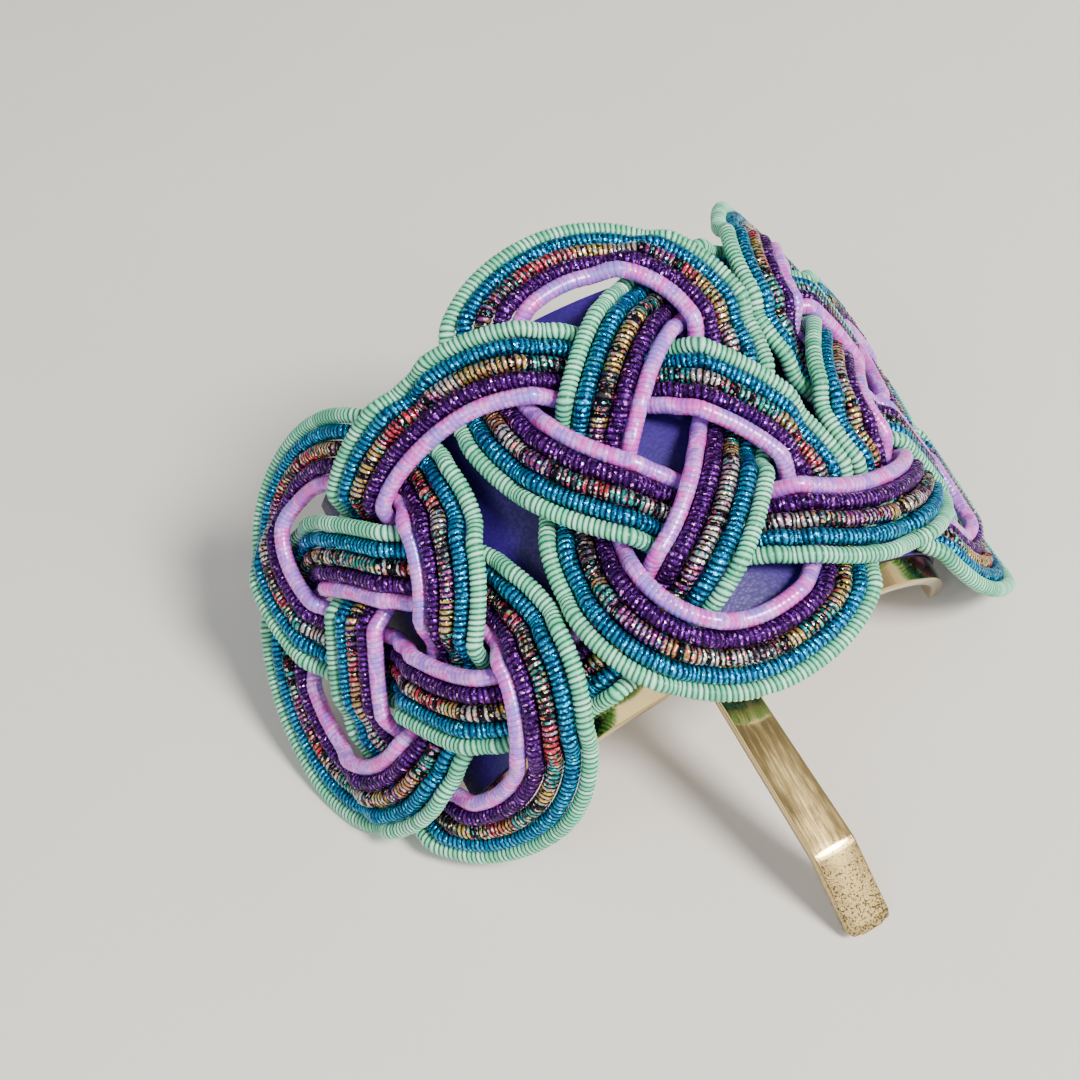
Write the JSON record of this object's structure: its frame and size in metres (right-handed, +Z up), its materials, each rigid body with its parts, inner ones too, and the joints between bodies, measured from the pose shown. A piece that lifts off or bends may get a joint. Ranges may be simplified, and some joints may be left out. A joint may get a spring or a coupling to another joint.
{
  "type": "ponytail hook",
  "caption": "Curved ponytail cuff: interlaced knots of parallel coloured cords on a covered gold plate, with a flat bent hook bar behind it.",
  "frame": {"origin": "on the table, under the middle of the outline of the part as it lies at rest", "axes": "+Z up from the table, +X along the row of knots, -Y towards the front, where the hook's tip points"},
  "size_m": [0.0468, 0.0392, 0.0261],
  "materials": {
    "gold_metal": "polished",
    "navy_covering": "satin",
    "mint_cord": "matte",
    "blue_cord": "satin",
    "multi_cord": "satin",
    "purple_cord": "satin",
    "lavender_cord": "satin"
  },
  "bodies": {
    "root": {"cuff_hook": "gold_metal", "covering": "navy_covering", "mint_cord": "mint_cord", "blue_cord": "blue_cord", "multi_cord": "multi_cord", "purple_cord": "purple_cord", "lavender_cord": "lavender_cord"}
  },
  "joints": []
}
